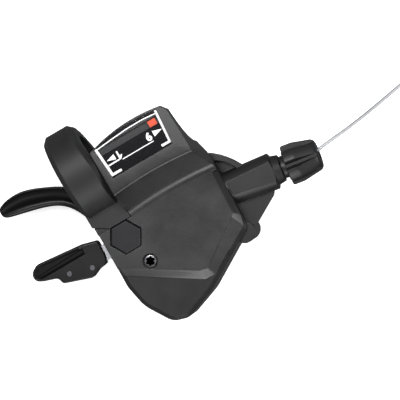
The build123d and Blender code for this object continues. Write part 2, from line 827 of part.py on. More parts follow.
# 15 Top washer between the roof and the spool
with BuildPart() as top_washer:
    with BuildSketch(Plane.XY.offset(spool_top + face_gap)):
        with Locations((axle_x, axle_y)):
            Circle(washer_d / 2)
            Circle(axle_d / 2 + fit, mode=Mode.SUBTRACT)
    extrude(amount=ceiling_z - spool_top - face_gap)
top_washer.part.label = "top_washer"
export_step(top_washer.part, "parts/top_washer.step")

# 16 and 17 Spacers that keep the levers apart on the axle
with BuildPart() as upper_spacer:
    with BuildSketch(Plane.XY.offset(thumb_arm_z + thumb_arm_t + face_gap)):
        with Locations((axle_x, axle_y)):
            Circle(spacer_d / 2)
            Circle(axle_d / 2 + fit, mode=Mode.SUBTRACT)
    extrude(amount=trigger_arm_z - thumb_arm_z - thumb_arm_t - 2 * face_gap)
upper_spacer.part.label = "upper_spacer"
export_step(upper_spacer.part, "parts/upper_spacer.step")

with BuildPart() as lower_spacer:
    with BuildSketch(Plane.XY.offset(floor_z + flange_t)):
        with Locations((axle_x, axle_y)):
            Circle(spacer_d / 2)
            Circle(axle_d / 2 + fit, mode=Mode.SUBTRACT)
    extrude(amount=thumb_arm_z - face_gap - floor_z - flange_t)
lower_spacer.part.label = "lower_spacer"
export_step(lower_spacer.part, "parts/lower_spacer.step")

# 18 Cable spool: grooved drum with a pocket for the cable's head
with BuildPart() as cable_spool:
    with BuildSketch(Plane.XY.offset(spool_bottom)):
        with Locations((axle_x, axle_y)):
            Circle(spool_r)
            Circle(axle_d / 2 + fit, mode=Mode.SUBTRACT)
    extrude(amount=spool_t)
    with BuildSketch(Plane.XY.offset(cable_z - cable_d / 2 - groove_play)):
        with Locations((axle_x, axle_y)):
            Circle(spool_r + 1)
            Circle(line_r - cable_d / 2 - groove_play, mode=Mode.SUBTRACT)
    extrude(amount=cable_d + 2 * groove_play, mode=Mode.SUBTRACT)
    with BuildSketch(cable_plane(0)):
        Circle(head_d / 2 + fit)
    extrude(amount=-head_len - groove_play - fit, mode=Mode.SUBTRACT)
    with BuildSketch(Plane.XY.offset(spool_bottom)):
        with Locations((axle_x, axle_y)):
            with PolarLocations(rivet_circle_r, rivet_count):
                Circle(rivet_d / 2 + fit)
    extrude(amount=spool_t, mode=Mode.SUBTRACT)
cable_spool.part.label = "cable_spool"
export_step(cable_spool.part, "parts/cable_spool.step")

# 19 Ratchet plate: saw teeth all round, one tooth to a gear
pitch = 360 / teeth
with BuildPart() as ratchet_plate:
    with BuildSketch(Plane.XY.offset(ratchet_bottom)):
        with BuildLine():
            tooth_points = []
            for tooth in range(teeth):
                tooth_points.append(around_axle(root_r, tooth * pitch))
                tooth_points.append(around_axle(tip_r, tooth * pitch + 0.15 * pitch))
            Polyline(*tooth_points, close=True)
        make_face()
        with Locations((axle_x, axle_y)):
            Circle(axle_d / 2 + fit, mode=Mode.SUBTRACT)
            with PolarLocations(rivet_circle_r, rivet_count):
                Circle(rivet_d / 2 + fit, mode=Mode.SUBTRACT)
    extrude(amount=ratchet_t)
ratchet_plate.part.label = "ratchet_plate"
export_step(ratchet_plate.part, "parts/ratchet_plate.step")

# 20 Spool rivets through the spool and the ratchet plate
with BuildPart() as spool_rivets:
    with BuildSketch(Plane.XY.offset(ratchet_bottom)):
        with Locations((axle_x, axle_y)):
            with PolarLocations(rivet_circle_r, rivet_count):
                Circle(rivet_d / 2)
    extrude(amount=spool_top - ratchet_bottom)
spool_rivets.part.label = "spool_rivets"
export_step(spool_rivets.part, "parts/spool_rivets.step")

# 21 Cable head: barrel nipple that the spool pulls on
with BuildPart() as cable_head:
    with BuildSketch(cable_plane(-groove_play)):
        Circle(head_d / 2)
    extrude(amount=-head_len)
cable_head.part.label = "cable_head"
export_step(cable_head.part, "parts/cable_head.step")

# 22 Trigger arm: steel strip from the axle out to the finger paddle
paddle_rivet_points = [trigger_at(44.1, 89.2), trigger_at(67.2, 82.9)]
trigger_route = [
    (axle_x, axle_y),
    trigger_at(-15.4, 107.3),
    trigger_at(9.8, 93.8),
    trigger_at(22.5, 81.5),
    trigger_at(42.7, 87.1),
    trigger_at(66.9, 82.3),
]
with BuildPart() as trigger_arm:
    with BuildSketch(Plane.XY.offset(trigger_arm_z)):
        strip(trigger_route, trigger_arm_w)
        with Locations((axle_x, axle_y)):
            Circle(hub_r)
            Circle(axle_d / 2 + fit, mode=Mode.SUBTRACT)
        with Locations(*paddle_rivet_points):
            Circle(paddle_rivet_d / 2 + fit, mode=Mode.SUBTRACT)
    extrude(amount=arm_t)
trigger_arm.part.label = "trigger_arm"
export_step(trigger_arm.part, "parts/trigger_arm.step")

# 23 Trigger paddle, moulded over the arm's outer end
paddle_points = [
    trigger_at(25.6, 67.7),
    trigger_at(43.3, 63.2),
    trigger_at(94.0, 58.2),
    trigger_at(103.2, 70.9),
    trigger_at(93.1, 76.7),
    trigger_at(79.0, 80.8),
    trigger_at(77.8, 88.4),
    trigger_at(48.0, 98.8),
    trigger_at(38.3, 93.7),
    trigger_at(28.7, 92.7),
    trigger_at(26.1, 84.3),
]
paddle_rounds = [lever_edge * times for times in (2, 0, 5, 3, 0, 0, 2, 4, 0, 2, 0)]
with BuildPart() as trigger_paddle:
    with BuildSketch(Plane.XY.offset(paddle_z)) as paddle_sketch:
        rounded_polygon(paddle_sketch, paddle_points, paddle_rounds)
    extrude(amount=paddle_t)
    chamfer(trigger_paddle.faces().sort_by(Axis.Z)[-1].edges(), lever_edge)
    # Hollow for the finger along the rider's side, closed by a step before the arm
    hollow_x, hollow_y = trigger_at(44.7, 59.3)
    hollow_plane = Plane(
        origin=(hollow_x, hollow_y, paddle_z + paddle_t + finger_hollow_r - finger_hollow_depth),
        z_dir=(-1, 0, 0),
    )
    with BuildSketch(hollow_plane):
        Circle(finger_hollow_r)
    extrude(amount=trigger_reach, mode=Mode.SUBTRACT)
    with BuildSketch(Plane.XY.offset(trigger_arm_z - fit)):
        strip(trigger_route[2:], trigger_arm_w + 2 * fit)
    extrude(amount=arm_t + 2 * fit, mode=Mode.SUBTRACT)
    with BuildSketch(Plane.XY.offset(paddle_z)):
        with Locations(*paddle_rivet_points):
            Circle(paddle_rivet_d / 2 + fit)
    extrude(amount=paddle_t, mode=Mode.SUBTRACT)
trigger_paddle.part.label = "trigger_paddle"
export_step(trigger_paddle.part, "parts/trigger_paddle.step")

# 24 Paddle rivets
with BuildPart() as paddle_rivets:
    with BuildSketch(Plane.XY.offset(paddle_z)):
        with Locations(*paddle_rivet_points):
            Circle(paddle_rivet_d / 2)
    extrude(amount=paddle_t + 0.2)
paddle_rivets.part.label = "paddle_rivets"
export_step(paddle_rivets.part, "parts/paddle_rivets.step")

# 25 Thumb arm: steel strip from the axle out to the blade, with an ear for the drive pawl
thumb_route = [(axle_x, axle_y), thumb_at(-11.6, -68.4), thumb_at(13.0, -49.9), thumb_at(27.5, -18.8)]
drive_pin = around_axle(pawl_pin_r, drive_pin_angle)
with BuildPart() as thumb_arm:
    with BuildSketch(Plane.XY.offset(thumb_arm_z)):
        strip(thumb_route, thumb_arm_w)
        strip([(axle_x, axle_y), drive_pin], 2 * pawl_boss_r)
        with Locations((axle_x, axle_y)):
            Circle(hub_r)
            Circle(axle_d / 2 + fit, mode=Mode.SUBTRACT)
        with Locations(drive_pin):
            Circle(pawl_pin_d / 2 + fit, mode=Mode.SUBTRACT)
    extrude(amount=thumb_arm_t)
thumb_arm.part.label = "thumb_arm"
export_step(thumb_arm.part, "parts/thumb_arm.step")

# 26 Thumb blade: hooked lever with a hollowed face for the thumb, moulded over the arm
blade_points = [
    thumb_at(24.3, -51.6),
    thumb_at(35.9, -27.0),
    thumb_at(49.9, -15.7),
    thumb_at(101.0, -1.8),
    thumb_at(101.2, 7.6),
    thumb_at(71.5, 12.9),
    thumb_at(36.2, -0.3),
    thumb_at(23.2, -12.2),
    thumb_at(12.8, -31.9),
    thumb_at(12.8, -49.3),
]
blade_rounds = [lever_edge * times for times in (0, 16, 16, 3, 2.5, 24, 20, 0, 0, 0)]
with BuildPart() as thumb_blade:
    with BuildSketch(Plane.XY.offset(blade_z)) as blade_sketch:
        rounded_polygon(blade_sketch, blade_points, blade_rounds)
    extrude(amount=blade_top - blade_z)
    chamfer(thumb_blade.faces().sort_by(Axis.Z)[-1].edges(), lever_edge)
    # Hollow for the thumb: a round groove that follows the hook and runs out towards the tip
    hollow_z = blade_top + thumb_hollow_r - thumb_hollow_depth
    with BuildLine() as thumb_line:
        ThreePointArc(
            (*thumb_at(89.9, 6.4), hollow_z + thumb_hollow_depth / 2),
            (*thumb_at(60.9, 2.6), hollow_z),
            (*thumb_at(23.2, -21.4), hollow_z),
        )
    with BuildSketch(Plane(thumb_line.line ^ 0)):
        Circle(thumb_hollow_r)
    sweep(path=thumb_line.line, mode=Mode.SUBTRACT)
    with Locations(thumb_line.line @ 0):
        Sphere(thumb_hollow_r, mode=Mode.SUBTRACT)
    with BuildSketch(Plane.XY.offset(thumb_arm_z - fit)):
        strip(thumb_route[1:], thumb_arm_w + 2 * fit)
    extrude(amount=thumb_arm_t + 2 * fit, mode=Mode.SUBTRACT)
thumb_blade.part.label = "thumb_blade"
export_step(thumb_blade.part, "parts/thumb_blade.step")

# 27 and 28 Pawl pins, one in the thumb arm's ear and one in the roof
hold_pin = around_axle(pawl_pin_r, hold_pin_angle)
with BuildPart() as drive_pawl_pin:
    with BuildSketch(Plane.XY.offset(thumb_arm_z)):
        with Locations(drive_pin):
            Circle(pawl_pin_d / 2)
    extrude(amount=spool_bottom - thumb_arm_z)
drive_pawl_pin.part.label = "drive_pawl_pin"
export_step(drive_pawl_pin.part, "parts/drive_pawl_pin.step")

with BuildPart() as holding_pawl_pin:
    with BuildSketch(Plane.XY.offset(ratchet_bottom)):
        with Locations(hold_pin):
            Circle(pawl_pin_d / 2)
    extrude(amount=ceiling_z + wall_t / 2 - fit - ratchet_bottom)
holding_pawl_pin.part.label = "holding_pawl_pin"
export_step(holding_pawl_pin.part, "parts/holding_pawl_pin.step")

# 29 and 30 Pawls: each reaches round from its pin to just outside the teeth
nose_line_r = tip_r + pawl_clear + pawl_nose_r
with BuildPart() as drive_pawl:
    with BuildSketch(Plane.XY.offset(ratchet_bottom + face_gap)):
        with Locations(drive_pin):
            Circle(pawl_boss_r)
        with Locations(around_axle(nose_line_r, drive_pin_angle + pawl_reach)):
            Circle(pawl_nose_r)
        make_hull()
        with Locations(drive_pin):
            Circle(pawl_pin_d / 2 + fit, mode=Mode.SUBTRACT)
    extrude(amount=ratchet_t - 2 * face_gap)
drive_pawl.part.label = "drive_pawl"
export_step(drive_pawl.part, "parts/drive_pawl.step")

with BuildPart() as holding_pawl:
    with BuildSketch(Plane.XY.offset(ratchet_bottom + face_gap)):
        with Locations(hold_pin):
            Circle(pawl_boss_r)
        with Locations(around_axle(nose_line_r, hold_pin_angle + pawl_reach)):
            Circle(pawl_nose_r)
        make_hull()
        with Locations(hold_pin):
            Circle(pawl_pin_d / 2 + fit, mode=Mode.SUBTRACT)
    extrude(amount=ratchet_t - 2 * face_gap)
holding_pawl.part.label = "holding_pawl"
export_step(holding_pawl.part, "parts/holding_pawl.step")

# 31 and 32 Return springs: two torsion coils, one round the other, between the levers' hubs
trigger_spring_r = spacer_d / 2 + face_gap + spring_wire / 2
thumb_spring_r = trigger_spring_r + spring_wire + face_gap
spring_foot = thumb_arm_z + thumb_arm_t + face_gap + spring_wire / 2
spring_rise = trigger_arm_z - face_gap - spring_wire / 2 - spring_foot
spring_turns = int(spring_rise / spring_pitch)
with BuildPart() as trigger_spring:
    with BuildLine() as trigger_coil:
        Helix(
            pitch=spring_rise / spring_turns,
            height=spring_rise,
            radius=trigger_spring_r,
            center=(axle_x, axle_y, spring_foot),
        )
    with BuildSketch(trigger_coil.line ^ 0):
        Circle(spring_wire / 2)
    sweep(path=trigger_coil.line, is_frenet=True)
trigger_spring.part.label = "trigger_spring"
export_step(trigger_spring.part, "parts/trigger_spring.step")

with BuildPart() as thumb_spring:
    with BuildLine() as thumb_coil:
        Helix(
            pitch=spring_rise / spring_turns,
            height=spring_rise,
            radius=thumb_spring_r,
            center=(axle_x, axle_y, spring_foot),
        )
    with BuildSketch(thumb_coil.line ^ 0):
        Circle(spring_wire / 2)
    sweep(path=thumb_coil.line, is_frenet=True)
thumb_spring.part.label = "thumb_spring"
export_step(thumb_spring.part, "parts/thumb_spring.step")

# 33 Barrel adjuster: winged knob on a hollow threaded shank, with a seat for the cable casing
knob_points = [
    (adjuster_start, 0),
    (adjuster_start, adjuster_wide_d / 2),
    (adjuster_start + adjuster_len / 3, adjuster_wide_d / 2),
    (adjuster_end, adjuster_end_d / 2),
    (adjuster_end, 0),
]
knob_rounds = [0, adjuster_round / 3, adjuster_round, adjuster_round, 0]
with BuildPart() as barrel_adjuster:
    with BuildSketch(cable_plane(adjuster_start)):
        Circle(adjuster_core_d / 2)
        with PolarLocations(adjuster_core_d / 2, wing_count):
            Rectangle(adjuster_wide_d - adjuster_core_d, wing_w)
    extrude(amount=adjuster_len)
    with BuildSketch(line_plane) as knob_sketch:
        rounded_polygon(knob_sketch, knob_points, knob_rounds)
    revolve(axis=line_axis, mode=Mode.INTERSECT)
    with BuildSketch(cable_plane(boss_end + moving_gap)):
        Circle(neck_d / 2)
    extrude(amount=adjuster_gap)
    with BuildSketch(cable_plane(adjuster_start)):
        Circle(thread_d / 2)
    extrude(amount=-adjuster_gap - thread_len + 1)
    with BuildSketch(cable_plane(adjuster_end - casing_depth)):
        Circle(casing_d / 2)
    extrude(amount=casing_depth + 1, mode=Mode.SUBTRACT)
    with BuildSketch(cable_plane(adjuster_end)):
        Circle(wire_bore_d / 2)
    extrude(amount=-adjuster_len - adjuster_gap - thread_len, mode=Mode.SUBTRACT)
barrel_adjuster.part.label = "barrel_adjuster"
export_step(barrel_adjuster.part, "parts/barrel_adjuster.step")

# 34 Wire inside the shifter, straight from the spool to the casing seat
with BuildPart() as cable_inner:
    with BuildSketch(cable_plane(0)):
        Circle(cable_d / 2)
    extrude(amount=adjuster_end - casing_depth)
cable_inner.part.label = "cable_inner"
export_step(cable_inner.part, "parts/cable_inner.step")

# 35 Free wire: out of the seat, down in a long bend and along the surface to the coil
floor_wire_z = base_z + tie_wall + cable_d / 2
seat_point = cable_plane(adjuster_end - casing_depth).origin
bend_point = cable_plane(adjuster_end - casing_depth / 2).origin
mouth_point = cable_plane(adjuster_end).origin
wire_drop = cable_z - floor_wire_z


def wire_at(along, side, down):
    """Point on the free wire: parts of the way to the coil, along and to the side, and of the drop to the surface."""
    return (
        mouth_point.X + along * coil_away,
        mouth_point.Y + side * coil_away,
        cable_z - down * wire_drop,
    )


wire_route = [
    tuple(seat_point),
    tuple(bend_point),
    wire_at(0.055, 0.031, 0.016),
    wire_at(0.249, 0.048, 0.232),
    wire_at(0.445, 0.078, 0.568),
    wire_at(0.639, 0.115, 0.849),
    wire_at(0.833, 0.146, 0.989),
    wire_at(1.0, 0.164, 1.0),
]
coil_x = wire_route[-1][0]
coil_y = wire_route[-1][1] - coil_r


def route_radii(points):
    """Largest even radius for each corner of a route: 0.45 of the shorter run over the half turn's tangent."""
    radii = []
    for before, here, after in zip(points, points[1:], points[2:]):
        arrive = Vector(*here) - Vector(*before)
        leave = Vector(*after) - Vector(*here)
        half_turn = math.radians(arrive.get_angle(leave)) / 2
        radii.append(0.45 * min(arrive.length, leave.length) / math.tan(half_turn))
    return radii


wire_radii = route_radii(wire_route)
print("wire radii", [round(radius, 1) for radius in wire_radii])
with BuildPart() as cable_free:
    with BuildLine():
        free_line = FilletPolyline(*wire_route, radius=wire_radii)
    with BuildSketch(Plane(free_line ^ 0)):
        Circle(cable_d / 2)
    sweep(path=free_line)
even_volume = free_line.length * math.pi * cable_d**2 / 4
print("free wire length", round(free_line.length, 2), "evenness", round(cable_free.part.volume / even_volume, 4))
cable_free.part.label = "cable_free"
export_step(cable_free.part, "parts/cable_free.step")

# 36 Coil of the put-away length, and 37 the tie round it
coil_z = base_z + tie_wall + bundle_r
with BuildPart(Plane(origin=(coil_x, coil_y, coil_z))) as cable_coil:
    Torus(coil_r, bundle_r)
cable_coil.part.label = "cable_coil"
export_step(cable_coil.part, "parts/cable_coil.step")

tie_a = math.radians(tie_angle)
tie_plane = Plane(
    origin=(coil_x + coil_r * math.cos(tie_a), coil_y + coil_r * math.sin(tie_a), coil_z),
    z_dir=(-math.sin(tie_a), math.cos(tie_a), 0),
)
with BuildPart() as coil_tie:
    with BuildSketch(tie_plane):
        Circle(bundle_r + tie_wall)
    extrude(amount=tie_len / 2, both=True)
    add(Plane(origin=(coil_x, coil_y, coil_z)) * Torus(coil_r, bundle_r + fit, mode=Mode.PRIVATE), mode=Mode.SUBTRACT)
coil_tie.part.label = "coil_tie"
export_step(coil_tie.part, "parts/coil_tie.step")

# 38 Tail of the wire and 39 the crimped cap on its end
tail_a = math.radians(tail_angle)
tail_plane = Plane(
    origin=(
        coil_x + tail_start_r * math.cos(tail_a),
        coil_y + tail_start_r * math.sin(tail_a),
        base_z + tie_wall + end_cap_d / 2,
    ),
    z_dir=(math.sin(tail_a), -math.cos(tail_a), 0),
)
with BuildPart() as cable_tail:
    with BuildSketch(tail_plane):
        Circle(cable_d / 2)
    extrude(amount=tail_out)
cable_tail.part.label = "cable_tail"
export_step(cable_tail.part, "parts/cable_tail.step")

with BuildPart() as cable_end_cap:
    with BuildSketch(tail_plane.offset(tail_out)):
        Circle(end_cap_d / 2)
    extrude(amount=end_cap_len)
    chamfer(cable_end_cap.faces().sort_by(Axis((0, 0, 0), tuple(tail_plane.z_dir)))[-1].edges(), 0.4)
cable_end_cap.part.label = "cable_end_cap"
export_step(cable_end_cap.part, "parts/cable_end_cap.step")
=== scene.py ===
import json
import math

import bmesh
import bpy
from mathutils import Matrix, Vector


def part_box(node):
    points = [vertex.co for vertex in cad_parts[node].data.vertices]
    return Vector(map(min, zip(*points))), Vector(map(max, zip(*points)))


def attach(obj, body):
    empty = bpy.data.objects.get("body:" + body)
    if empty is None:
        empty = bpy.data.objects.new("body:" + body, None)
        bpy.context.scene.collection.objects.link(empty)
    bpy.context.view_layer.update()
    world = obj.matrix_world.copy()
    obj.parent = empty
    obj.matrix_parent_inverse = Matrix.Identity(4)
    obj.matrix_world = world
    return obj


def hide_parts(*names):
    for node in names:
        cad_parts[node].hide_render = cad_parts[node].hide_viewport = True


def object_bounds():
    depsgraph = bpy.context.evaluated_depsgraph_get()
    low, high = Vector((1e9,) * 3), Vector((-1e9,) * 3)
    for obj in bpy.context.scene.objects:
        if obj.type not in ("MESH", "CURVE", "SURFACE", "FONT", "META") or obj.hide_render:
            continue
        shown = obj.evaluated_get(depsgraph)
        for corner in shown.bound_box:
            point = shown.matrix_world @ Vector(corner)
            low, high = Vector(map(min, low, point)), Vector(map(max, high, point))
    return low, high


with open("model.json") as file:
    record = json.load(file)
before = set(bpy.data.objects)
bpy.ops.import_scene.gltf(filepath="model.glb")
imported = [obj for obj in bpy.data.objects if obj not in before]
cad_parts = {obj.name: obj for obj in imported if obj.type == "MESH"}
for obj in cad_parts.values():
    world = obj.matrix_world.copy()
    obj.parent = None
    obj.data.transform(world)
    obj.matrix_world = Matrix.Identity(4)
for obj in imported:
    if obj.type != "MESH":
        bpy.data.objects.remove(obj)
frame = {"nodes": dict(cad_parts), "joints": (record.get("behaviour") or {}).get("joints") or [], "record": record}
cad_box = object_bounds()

MM = 0.001
nodes_by_name = frame["nodes"]
slot_of = {part["node"]: part["material_slot"] for part in frame["record"]["subparts"]}


# Colours and materials

# Sockets of a Mix node for colours, given by number because its other sockets have the same names
MIX_SHARE, MIX_FROM, MIX_TO, MIX_RESULT = 0, 6, 7, 2
EDGE_SAMPLES = 6


def linear(code):
    """Linear RGBA from an sRGB hex code."""
    values = [int(code[i:i + 2], 16) / 255 for i in (1, 3, 5)]
    return [v / 12.92 if v <= 0.04045 else ((v + 0.055) / 1.055) ** 2.4 for v in values] + [1.0]


def add_node(tree, kind, settings=None, inputs=None, links=None):
    """Adds a node, sets its properties and sockets, and links sockets from (node, output) pairs."""
    made = tree.nodes.new(kind)
    for name, value in (settings or {}).items():
        setattr(made, name, value)
    for name, value in (inputs or {}).items():
        made.inputs[name].default_value = value
    for name, (source, output) in (links or {}).items():
        tree.links.new(source.outputs[output], made.inputs[name])
    return made


def add_ramp(tree, source, stops):
    """A colour ramp over a (node, output) pair, with (position, colour) stops in rising order."""
    ramp = add_node(tree, "ShaderNodeValToRGB", links={"Fac": source})
    elements = ramp.color_ramp.elements
    while len(elements) < len(stops):
        elements.new(1.0)
    for element, (position, colour) in zip(elements, stops):
        element.position = position
        element.color = colour
    return ramp


def new_material(name, specular=0.5):
    """A node material with its shader joined to its output, and Object coordinates in millimetres."""
    material = bpy.data.materials.new(name)
    material.use_nodes = True
    tree = material.node_tree
    tree.nodes.clear()
    output = add_node(tree, "ShaderNodeOutputMaterial")
    shader = add_node(tree, "ShaderNodeBsdfPrincipled", inputs={"Specular IOR Level": specular})
    tree.links.new(shader.outputs["BSDF"], output.inputs["Surface"])
    metres = add_node(tree, "ShaderNodeTexCoord")
    place = add_node(tree, "ShaderNodeMapping", inputs={"Scale": (1 / MM, 1 / MM, 1 / MM)},
                     links={"Vector": (metres, "Object")})
    return material, tree, shader, place


def add_noise(tree, place, size_mm, detail, roughness=0.5):
    """Cloudy noise with clouds of about a size in millimetres."""
    return add_node(tree, "ShaderNodeTexNoise",
                    inputs={"Scale": 1 / size_mm, "Detail": detail, "Roughness": roughness},
                    links={"Vector": (place, "Vector")})


def drive_gloss(tree, shader, noise, smoothest, roughest):
    """Lets a noise move the shader's roughness between two values."""
    gloss = add_node(tree, "ShaderNodeMapRange", inputs={"To Min": smoothest, "To Max": roughest},
                     links={"Value": (noise, "Fac")})
    tree.links.new(gloss.outputs["Result"], shader.inputs["Roughness"])


def add_relief(tree, shader, grain, bump_mm, edge_mm):
    """Rounds the edges a little and lays a grain over them; gives back the edge node."""
    edge = add_node(tree, "ShaderNodeBevel", {"samples": EDGE_SAMPLES}, {"Radius": edge_mm * MM})
    bump = add_node(tree, "ShaderNodeBump", inputs={"Strength": 1.0, "Distance": bump_mm * MM},
                    links={"Height": (grain, "Fac"), "Normal": (edge, "Normal")})
    tree.links.new(bump.outputs["Normal"], shader.inputs["Normal"])
    return edge


def moulded_plastic(name, dark, light, worn, roughness, spread, grain_mm, bump_mm, edge_mm, specular=0.5):
    """Injection-moulded plastic: a fine spark-eroded grain breaks the gloss, the tone drifts in soft clouds,
    and the edges are a little round and rubbed paler in patches."""
    material, tree, shader, place = new_material(name, specular)
    cloud = add_noise(tree, place, size_mm=9, detail=4.0, roughness=0.6)
    tone = add_ramp(tree, (cloud, "Fac"), [(0.3, linear(dark)), (0.72, linear(light))])
    drive_gloss(tree, shader, cloud, roughness - spread, roughness + spread)
    edge = add_relief(tree, shader, add_noise(tree, place, grain_mm, detail=2.0), bump_mm, edge_mm)
    face = add_node(tree, "ShaderNodeNewGeometry")
    bend = add_node(tree, "ShaderNodeVectorMath", {"operation": "DOT_PRODUCT"},
                    links={0: (edge, "Normal"), 1: (face, "Normal")})
    rub = add_node(tree, "ShaderNodeMapRange", inputs={"From Min": 0.92, "From Max": 0.75},
                   links={"Value": (bend, "Value")})
    patches = add_node(tree, "ShaderNodeMapRange", inputs={"From Min": 0.42, "From Max": 0.62},
                       links={"Value": (cloud, "Fac")})
    worn_here = add_node(tree, "ShaderNodeMath", {"operation": "MULTIPLY"},
                         links={0: (rub, "Result"), 1: (patches, "Result")})
    colour = add_node(tree, "ShaderNodeMix", {"data_type": "RGBA"}, {MIX_TO: linear(worn)},
                      {MIX_SHARE: (worn_here, "Value"), MIX_FROM: (tone, "Color")})
    tree.links.new(colour.outputs[MIX_RESULT], shader.inputs["Base Color"])
    return material


def plain_metal(name, colour, roughness, grain_mm, bump_mm, edge_mm):
    """Drawn or pressed metal: short fine scratches blur its reflections, and its edges are rolled a little round."""
    material, tree, shader, place = new_material(name)
    shader.inputs["Metallic"].default_value = 1.0
    grain = add_noise(tree, place, grain_mm, detail=3.0)
    bright = linear(colour)
    dull = [channel * 0.75 for channel in bright[:3]] + [1.0]
    tone = add_ramp(tree, (grain, "Fac"), [(0.3, dull), (0.6, bright)])
    tree.links.new(tone.outputs["Color"], shader.inputs["Base Color"])
    drive_gloss(tree, shader, grain, roughness - 0.06, roughness + 0.06)
    add_relief(tree, shader, grain, bump_mm, edge_mm)
    return material


def print_ink(name, dark, light, roughness):
    """Screen-printed ink: even and thin, with a faint speckle of the mesh it was pressed through. It lies against the
    window with no air between, so it has little gloss of its own."""
    material, tree, shader, place = new_material(name, specular=0.18)
    speckle = add_noise(tree, place, size_mm=0.6, detail=2.0)
    tone = add_ramp(tree, (speckle, "Fac"), [(0.0, linear(dark)), (1.0, linear(light))])
    tree.links.new(tone.outputs["Color"], shader.inputs["Base Color"])
    drive_gloss(tree, shader, speckle, roughness - 0.03, roughness + 0.03)
    return material


# Top cover: satin black glass-filled nylon with a fine grain, a little paler where hands rub it
shell_nylon = moulded_plastic("nylon_satin_shell", "#0d0d0e", "#1b1b1c", "#444444", roughness=0.36, spread=0.1,
                              grain_mm=0.7, bump_mm=0.02, edge_mm=0.35)
# Base housing: the same nylon from a blasted tool, so it is duller than the cover
base_nylon = moulded_plastic("nylon_matt_base", "#121213", "#1a1a1b", "#404040", roughness=0.42, spread=0.08,
                             grain_mm=0.4, bump_mm=0.014, edge_mm=0.35, specular=0.3)
# Clamp band: the same nylon, dulled by handling, with its edges scuffed pale
band_nylon = moulded_plastic("nylon_scuffed_band", "#131314", "#1c1c1d", "#5c5c5c", roughness=0.5, spread=0.08,
                             grain_mm=0.45, bump_mm=0.018, edge_mm=0.5, specular=0.3)
# Hexagon cap: the same black moulded smoother, with a bluish cast
cap_nylon = moulded_plastic("nylon_smooth_cap", "#101013", "#151518", "#3e3e42", roughness=0.36, spread=0.05,
                            grain_mm=0.4, bump_mm=0.008, edge_mm=0.3, specular=0.27)
# Levers: a smoother tool, so they look darker than the pod and carry soft lights along their rims
lever_nylon = moulded_plastic("nylon_polished_lever", "#0a0a0b", "#111112", "#363636", roughness=0.36, spread=0.06,
                              grain_mm=0.6, bump_mm=0.012, edge_mm=0.45, specular=0.25)
# The levers' hollows: the same nylon, left matt by the tool and painted darker than the rims as painted shade in the
# hollows
hollow_shade_nylon = moulded_plastic("nylon_hollow_painted_shade", "#070708", "#0b0b0c", "#2a2a2a", roughness=0.55, spread=0.05,
                               grain_mm=0.8, bump_mm=0.006, edge_mm=0.4, specular=0.13)
# Adjuster: satin black with a light along each wing
adjuster_acetal = moulded_plastic("acetal_adjuster", "#0e0e0f", "#161617", "#3e3e3e", roughness=0.42, spread=0.06,
                                  grain_mm=0.5, bump_mm=0.01, edge_mm=0.35, specular=0.33)
# Spool: unpainted acetal, milky and waxy
spool_acetal = moulded_plastic("acetal_spool", "#b9b7b0", "#c6c4bd", "#d6d4cd", roughness=0.4, spread=0.05,
                               grain_mm=0.6, bump_mm=0.006, edge_mm=0.2)
# Coil tie: plain black nylon strap
tie_nylon = moulded_plastic("nylon_tie", "#191919", "#222222", "#3c3c3c", roughness=0.4, spread=0.05,
                            grain_mm=0.5, bump_mm=0.006, edge_mm=0.15)
# Dial bed: dark grey moulded plate that shows through the clear strip of the window
dial_bed = moulded_plastic("abs_grey_dial", "#2c2c2e", "#353537", "#424244", roughness=0.5, spread=0.05,
                           grain_mm=0.5, bump_mm=0.004, edge_mm=0.1)
# Needle: orange-red moulded tab
needle_abs = moulded_plastic("abs_orange_needle", "#ef4a24", "#fb5a32", "#ff7a55", roughness=0.45, spread=0.05,
                             grain_mm=0.5, bump_mm=0.004, edge_mm=0.15)
# Zinc-plated pressings and screws: bright, slightly cloudy
zinc_steel = plain_metal("zinc_plated_steel", "#c4c5ca", roughness=0.3, grain_mm=0.5, bump_mm=0.004, edge_mm=0.2)
# Black oxide fasteners: dark, with a dull metal shine
black_steel = plain_metal("black_oxide_steel", "#626266", roughness=0.34, grain_mm=0.4, bump_mm=0.006, edge_mm=0.2)
# Cover screw: a paler copy of the black steel on its head as a painted highlight, and a near-black copy in its socket
# as painted shade
screw_highlight_steel = plain_metal("black_steel_painted_highlight", "#78787c", roughness=0.3, grain_mm=0.35, bump_mm=0.008, edge_mm=0.15)
socket_shade_steel = plain_metal("black_steel_painted_shade", "#141416", roughness=0.45, grain_mm=0.35, bump_mm=0.006, edge_mm=0.1)
# Drawn wire: pale grey, with a dull sheen along it
wire_steel = plain_metal("drawn_steel_wire", "#bcbdc0", roughness=0.6, grain_mm=0.4, bump_mm=0.004, edge_mm=0.05)
# Crimped cap: soft aluminium, pale and a little cloudy
crimp_aluminium = plain_metal("crimped_aluminium", "#d5d6da", roughness=0.35, grain_mm=0.5, bump_mm=0.004,
                              edge_mm=0.15)
# Window print: black round the clear strip, white for the dial's marks
black_ink = print_ink("black_window_ink", "#070709", "#0d0d11", roughness=0.2)
white_ink = print_ink("white_window_ink", "#f4f4f4", "#ffffff", roughness=0.5)

# Window: thin clear acrylic with a smoke tint, smooth enough to mirror the lamps faintly
window_acrylic, window_tree, window_shader, window_place = new_material("acrylic_window", specular=0.32)
window_shader.inputs["Base Color"].default_value = linear("#0a0a0c")
window_shader.inputs["Alpha"].default_value = 0.12
window_shader.inputs["IOR"].default_value = 1.49
drive_gloss(window_tree, window_shader, add_noise(window_tree, window_place, size_mm=6, detail=2.0), 0.03, 0.1)

